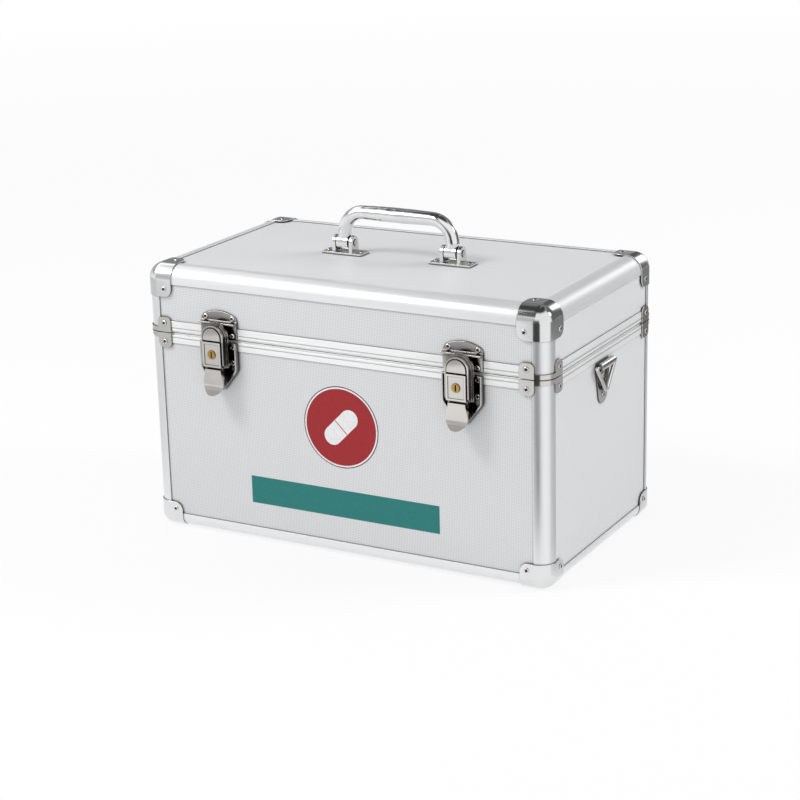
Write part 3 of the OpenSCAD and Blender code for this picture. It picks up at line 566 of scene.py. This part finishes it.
def add_head(work, part, middle):
    low = Vector([min(p[i] for p in part) for i in range(3)])
    high = Vector([max(p[i] for p in part) for i in range(3)])
    size, centre = high - low, (low + high) / 2
    thin = min(range(3), key=lambda i: size[i])
    out = Vector([0, 0, 0])
    out[thin] = 1 if centre[thin] > middle[thin] else -1
    side = Vector([1, 0, 0]) if thin != 0 else Vector([0, 1, 0])
    turn = out.cross(side)
    radius = (sum(size) - size[thin]) / 4
    base = centre - out * size[thin] / 2
    angles = [2 * math.pi * i / HEAD_SIDES for i in range(HEAD_SIDES)]
    rings = [[work.verts.new(base + out * (h * size[thin]) + radius * r * (
        side * math.cos(a) + turn * math.sin(a))) for a in angles] for r, h in HEAD[:-1]]
    floor = work.verts.new(base + out * (HEAD[-1][1] * size[thin]))
    for step, (one, two) in enumerate(zip(rings, rings[1:])):
        for i in range(HEAD_SIDES):
            j = (i + 1) % HEAD_SIDES
            # The faces of the hollow take the second finish, painted nearly black as shade.
            work.faces.new((one[i], one[j], two[j], two[i])).material_index = step >= HOLLOW_FROM
    for i in range(HEAD_SIDES):
        j = (i + 1) % HEAD_SIDES
        work.faces.new((rings[-1][i], rings[-1][j], floor)).material_index = 1
    work.faces.new(reversed(rings[0]))


def blind_rivets(node, middle):
    work = bmesh.new()
    heads = loose_parts(nodes[node].data)
    for part in heads:
        add_head(work, part, middle)
    bmesh.ops.recalc_face_normals(work, faces=work.faces)
    for face in work.faces:
        face.smooth = len(face.verts) <= 4
    mesh = bpy.data.meshes.new(node + "_hollow")
    work.to_mesh(mesh)
    work.free()
    mesh.materials.append(nickel_rivet)
    mesh.materials.append(pin_end)
    piece = bpy.data.objects.new(node + "_hollow", mesh)
    bpy.context.scene.collection.objects.link(piece)
    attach(piece, body_of[node])
    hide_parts(node)
    print(node, "has", len(heads), "heads")


blind_rivets("body_rivets", AIM)
blind_rivets("lid_rivets", Vector((0, middle_y, seam_z)))

# %% [markdown]
# The front carries two prints: a round badge with a slanted capsule, a common
# sign for medicine, and a plain teal band below it. Screen ink is a thin even
# film that still follows the embossed board, so its finish keeps the lattice of
# the board in its relief and in a slight change of tone, painted shade in the
# grooves.

# %% Inks
def ink_finish(name, colour):
    material, shader, place = finish(name, Roughness=0.5, Specular_IOR_Level=0.3)
    diamonds = lattice(place, lies_flat=False)
    wear = noise(place, 400.0, 3.0)
    # The lattice tone is painted shade in the grooves; the wear is real.
    feed(shader, "Base Color", (diamonds * 0.5 + wear * 0.6).ramp(0.3, 0.8).blend(
        times(0.86, colour), [min(1, 1.06 * c + 0.004) for c in colour]))
    feed(shader, "Roughness", wear.ramp(0.3, 0.7, 0.32, 0.46))
    feed(shader, "Normal", bump(diamonds, EMBOSS / 2, 0.5))
    return material


red_ink = ink_finish("red_ink", (0.36, 0.012, 0.018))
white_ink = ink_finish("white_ink", (0.84, 0.84, 0.85))
dark_ink = ink_finish("dark_ink", (0.10, 0.012, 0.016))
teal_ink = ink_finish("teal_ink", (0.012, 0.20, 0.185))
print("inks:", red_ink.name, white_ink.name, dark_ink.name, teal_ink.name)

# %% [markdown]
# Each print is a closed plate about a tenth of a millimetre thick on the front
# board, so it is a shape of its own and not a picture. An outline is a list of
# points across and up the board, in millimetres of the frame. Two outlines make
# a ring.

# %% Flat plates of ink on the front board
def ink_plate(name, loops, height, material, lift=0.0):
    """A plate `height` mm thick that starts `lift` mm before the board. All its
    `loops` have the same number of points."""
    work = bmesh.new()
    near = front_y - (lift + height) * MM
    far = front_y - lift * MM
    rows = [[work.verts.new((x * MM, y, z * MM)) for x, z in loop]
            for y in (near, far) for loop in loops]
    count = len(loops[0])
    for i in range(count):
        j = (i + 1) % count
        if len(loops) == 1:
            work.faces.new((rows[0][i], rows[0][j], rows[1][j], rows[1][i]))
        else:
            for a, b in ((0, 1), (1, 3), (3, 2), (2, 0)):
                work.faces.new((rows[a][i], rows[a][j], rows[b][j], rows[b][i]))
    if len(loops) == 1:
        work.faces.new(rows[0])
        work.faces.new(rows[1])
    bmesh.ops.recalc_face_normals(work, faces=work.faces)
    mesh = bpy.data.meshes.new(name)
    work.to_mesh(mesh)
    work.free()
    mesh.materials.append(material)
    piece = bpy.data.objects.new(name, mesh)
    bpy.context.scene.collection.objects.link(piece)
    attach(piece, "case")
    print(name, "has", len(mesh.polygons), "faces")

# %% [markdown]
# The badge needs circles and a capsule, which is a rod with round ends. The
# fine line across the middle of the capsule is a very thin capsule itself.

# %% The badge and the band
def circle(radius, centre, count=128):
    return [(centre[0] + radius * math.cos(2 * math.pi * i / count),
             centre[1] + radius * math.sin(2 * math.pi * i / count)) for i in range(count)]


def capsule(half_length, radius, slant, centre, count=48):
    """A rod with round ends, turned by `slant` degrees."""
    outline = []
    for end in (0, 1):
        for i in range(count // 2 + 1):
            angle = math.pi * (end - 0.5) + math.pi * i / (count // 2)
            x = radius * math.cos(angle) + (half_length if end == 0 else -half_length)
            outline.append((x, radius * math.sin(angle)))
    turn = math.radians(slant)
    return [(centre[0] + x * math.cos(turn) - z * math.sin(turn),
             centre[1] + x * math.sin(turn) + z * math.cos(turn)) for x, z in outline]


BADGE = (0.0, 106.0)
FILM = 0.10
OUTER, EDGE, FIELD = 33.0, 32.3, 31.0
BAND_HALF, BAND_LOW, BAND_HIGH = 84.5, 32.0, 54.5
ink_plate("badge_edge", [circle(OUTER, BADGE), circle(EDGE, BADGE)], FILM, dark_ink)
ink_plate("badge_rim", [circle(EDGE, BADGE), circle(FIELD, BADGE)], FILM, white_ink)
ink_plate("badge_field", [circle(FIELD, BADGE)], FILM, red_ink)
ink_plate("badge_capsule", [capsule(10.5, 7.6, 45, BADGE)], 0.04, white_ink, lift=FILM)
ink_plate("badge_capsule_line", [capsule(6.9, 0.35, -45, BADGE, 16)], 0.02, red_ink, lift=0.14)
ink_plate("front_band", [[(-BAND_HALF, BAND_LOW), (BAND_HALF, BAND_LOW),
                          (BAND_HALF, BAND_HIGH), (-BAND_HALF, BAND_HIGH)]], FILM, teal_ink)

# %% [markdown]
# The studio is a pale floor that runs out to a white surround. A camera sees the
# surround as pure white, and so do polished parts, but as a lamp it is kept
# lower, so that the pale boards don't burn out.

# %% The surround
SURROUND_LIGHT = 0.70


def seen_directly(tree):
    """1 for rays from the camera, and for mirror and see-through rays."""
    path = tree.nodes.new("ShaderNodeLightPath")
    rays = [Wire(tree, path.outputs[name])
            for name in ("Is Camera Ray", "Is Glossy Ray", "Is Transmission Ray")]
    return (rays[0] + rays[1] + rays[2]).ramp(0, 1)


world = bpy.data.worlds.new("surround")
bpy.context.scene.world = world
world.use_nodes = True
tree = world.node_tree
tree.nodes.clear()
strength = seen_directly(tree).ramp(0, 1, SURROUND_LIGHT, 1.0)
background = strength.node("Background", None, {"Color": (1, 1, 1, 1), "Strength": strength})
output = tree.nodes.new("ShaderNodeOutputWorld")
tree.links.new(background.socket, output.inputs[0])
print("surround lights with", SURROUND_LIGHT, "of its white")

# %% [markdown]
# The floor is part paper, which takes the soft shadow of the case, and part
# glow, which keeps it as pale as the surround. Away from the case the glow
# takes over, so that no horizon shows where the floor ends.

# %% The floor
FLOOR_HALF, FLOOR_DROP = 6, 0.3 * MM
FADE_FROM, FADE_TO, GLOW_NEAR = 0.9, 3.5, 0.80


def stage_sheet(name, points, faces, material):
    mesh = bpy.data.meshes.new(name)
    mesh.from_pydata(points, [], faces)
    mesh.materials.append(material)
    sheet = bpy.data.objects.new(name, mesh)
    bpy.context.scene.collection.objects.link(sheet)
    sheet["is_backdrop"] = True
    print(name, "has", len(faces), "faces")
    return sheet


floor_material = bpy.data.materials.new("floor")
floor_material.use_nodes = True
tree = floor_material.node_tree
tree.nodes.clear()
paper = Wire(tree).node("BsdfDiffuse", None, {"Color": (0.9, 0.9, 0.9, 1)})
glow = paper.node("Emission", None, {"Color": (1, 1, 1, 1), "Strength": 1.0})
place = paper.node("TexCoord", out="Object")
reach = paper.node("VectorMath", {"operation": "LENGTH"}, {0: place}, out="Value")
fade = reach.ramp(FADE_FROM, FADE_TO, GLOW_NEAR, 1.0)
mixed = paper.node("MixShader", None, {0: seen_directly(tree) * fade, 1: paper, 2: glow})
output = tree.nodes.new("ShaderNodeOutputMaterial")
tree.links.new(mixed.socket, output.inputs[0])
corners = [(FLOOR_HALF * x, FLOOR_HALF * y, -FLOOR_DROP)
           for x, y in ((-1, -1), (1, -1), (1, 1), (-1, 1))]
stage_sheet("floor", corners, [(0, 1, 2, 3)], floor_material)

# %% [markdown]
# Polished metal looks like metal because it mirrors both light and dark. The
# studio round this case is mostly white paper low down. The room above it is
# dim, and so are the sides at the back and a patch of floor at the front. Each
# such place is a range with soft edges, laid over those before it: two
# bearings, then two rises, or on the floor two distances in metres, how soft
# the edges are in both, and its grey. Full white is 1, and a lamp is more.

# %% The dim and the bright places of the room
def soft_range(value, low, high, soft):
    """1 well inside a range, 0 well outside it, and a smooth step between."""
    step = min(max((min(value - low, high - value) / soft + 1) / 2, 0), 1)
    return step * step * (3 - 2 * step)


def grey_of(places, bearing, rise):
    grey = 1.0
    for bearings, rises, turn_soft, rise_soft, dark in places:
        middle, half = sum(bearings) / 2, (bearings[1] - bearings[0]) / 2
        off = abs((bearing - middle + 180) % 360 - 180)
        cover = soft_range(off, -360, half, turn_soft) * soft_range(rise, *rises, rise_soft)
        grey += (dark - grey) * cover
    return grey


ROOM = [
    ((152, 268), (-20, 24), 8, 6, 0.75), ((152, 268), (24, 62), 8, 8, 0.22),
    ((-180, 180), (58, 120), 10, 8, 0.06), ((-128, -30), (36, 54), 8, 6, 1.4),
    ((-128, -60), (14, 32), 8, 6, 0.45), ((104, 158), (-20, 58), 8, 8, 0.14),
    ((-40, -6), (30, 62), 5, 5, 0.12), ((197, 228), (8, 28), 5, 5, 0.25),
    ((-48, -6), (0, 26), 6, 8, 0.6), ((-14, 24), (-20, 13), 5, 11, 0.10),
    ((157, 171), (12, 30), 5, 5, 3.0), ((177, 197), (12, 36), 5, 6, 0.10),
    ((104, 120), (26, 40), 6, 5, 3.0),
]
FLOOR = [
    ((-22, 24), (0.128, 9.0), 6, 0.015, 0.06), ((-104, -50), (0.45, 9.0), 8, 0.1, 0.7),
    ((98, 176), (0.05, 9.0), 8, 0.05, 0.5), ((98, 176), (0.66, 9.0), 8, 0.06, 0.22),
]
print("places of the room:", len(ROOM), "and of the floor:", len(FLOOR))

# %% [markdown]
# The room is built as sheets that mirror rays alone meet, so they cast no
# shadow, take no light from the boards and never stand before the camera. The
# grey of a sheet is kept at its points as a colour attribute. The first sheets
# are one big dome round the case and one disc on the floor. The disc is
# measured from the foot of the case's near corner, and its rings lie closer
# where the floor changes.

# %% A dome and a disc that only polished parts see
def mirrored_only(name, rows, greys):
    """Rows of points as a glowing sheet, with a grey for each."""
    wide = len(rows[0])
    faces = [(i, i + 1, i + wide + 1, i + wide)
             for r in range(len(rows) - 1) for i in range(r * wide, (r + 1) * wide - 1)]
    material = bpy.data.materials.new(name)
    material.use_nodes = True
    tree = material.node_tree
    tree.nodes.clear()
    shade = Wire(tree).node("Attribute", {"attribute_name": "grey"})
    light = shade.node("Emission", None, {"Color": shade, "Strength": 1.0})
    output = tree.nodes.new("ShaderNodeOutputMaterial")
    tree.links.new(light.socket, output.inputs[0])
    sheet = stage_sheet(name, [point for row in rows for point in row], faces, material)
    shades = sheet.data.color_attributes.new("grey", "FLOAT_COLOR", "POINT")
    for corner, grey in zip(shades.data, (grey for row in greys for grey in row)):
        corner.color = (grey, grey, grey, 1)
    sheet.visible_camera = sheet.visible_diffuse = sheet.visible_shadow = False
    sheet.visible_transmission = False


DOME_RADIUS, STEP = 2.7, 3
turns = [STEP * i for i in range(360 // STEP + 1)]
rises = [-2.3] + [STEP * i for i in range(1, 90 // STEP)] + [89.9]
mirrored_only("room_dome", [[around(b, r, DOME_RADIUS) for b in turns] for r in rises],
              [[grey_of(ROOM, b, r) for b in turns] for r in rises])
foot = Vector((post_x, front_y, -0.2 * MM))
reaches = [0.03, 0.06, 0.10, 0.115, 0.128, 0.14, 0.16, 0.25,
           0.4, 0.6, 0.66, 0.72, 1.1, 1.5, 1.9, 2.5]
mirrored_only("floor_disc", [[around(b, 0, d, foot) for b in turns] for d in reaches],
              [[grey_of(FLOOR, b, d) for b in turns] for d in reaches])

# %% [markdown]
# A photographer adds a strip light, so that the rounded front rail gets one
# long highlight, and small flags where that light would burn out. Here the
# strip hangs over the left of the case, brightest along its middle. The tips of
# the two levers curl up towards it, so each gets a grey flag close by.

# %% A strip light and two flags
strip_ends = Vector((-0.70, -0.335, 0.520)), Vector((-0.085, -0.350, 0.565))
strip_wide = Vector((0, 0.85, 0.53))
strip_rows = [(-0.11, 1.0), (-0.07, 6.5), (0.07, 6.5), (0.11, 0.3)]
mirrored_only("light_strip", [[end + w * strip_wide for end in strip_ends] for w, _ in strip_rows],
              [[grey, grey] for _, grey in strip_rows])
FLAG_GREY, FLAG_AWAY = 0.5, 65 * MM
flag_turns, flag_rises = (-80, -60, -40, -15), (30, 50, 68)
for lever in ("left_lever", "right_lever"):
    low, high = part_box(lever)
    tip = Vector(((low.x + high.x) / 2, low.y, low.z))
    mirrored_only(lever + "_flag",
                  [[around(b, r, FLAG_AWAY, tip) for b in flag_turns] for r in flag_rises],
                  [[FLAG_GREY] * len(flag_turns)] * len(flag_rises))

# %% [markdown]
# Two soft lamps shape the case. The one to the left of the camera gives the
# handle its shadow on the top board. The wider one lifts the right end from
# behind. Polished parts don't mirror them, since the room above already gives
# these their lights.

# %% Soft lamps
def soft_lamp(name, place, size, watts):
    light = bpy.data.lights.new(name, "AREA")
    light.shape, light.size, light.energy = "SQUARE", size, watts
    lamp = bpy.data.objects.new(name, light)
    facing = (place - AIM).to_track_quat("Z", "Y").to_matrix().to_4x4()
    lamp.matrix_world = Matrix.Translation(place) @ facing
    lamp.visible_glossy = False
    bpy.context.scene.collection.objects.link(lamp)
    print(name, "at", [round(v, 2) for v in place])


soft_lamp("lamp_left", around(-42, 48, 2.2), 0.55, 16)
soft_lamp("lamp_right", around(118, 32, 2.4), 0.9, 17)
bpy.context.scene.view_settings.view_transform = "Standard"

# %% [markdown]
# At the end the box of the dressed model is measured and printed.

low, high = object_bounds()
print("dressed box in mm:", [round(1000 * v, 1) for v in (*low, *high)])
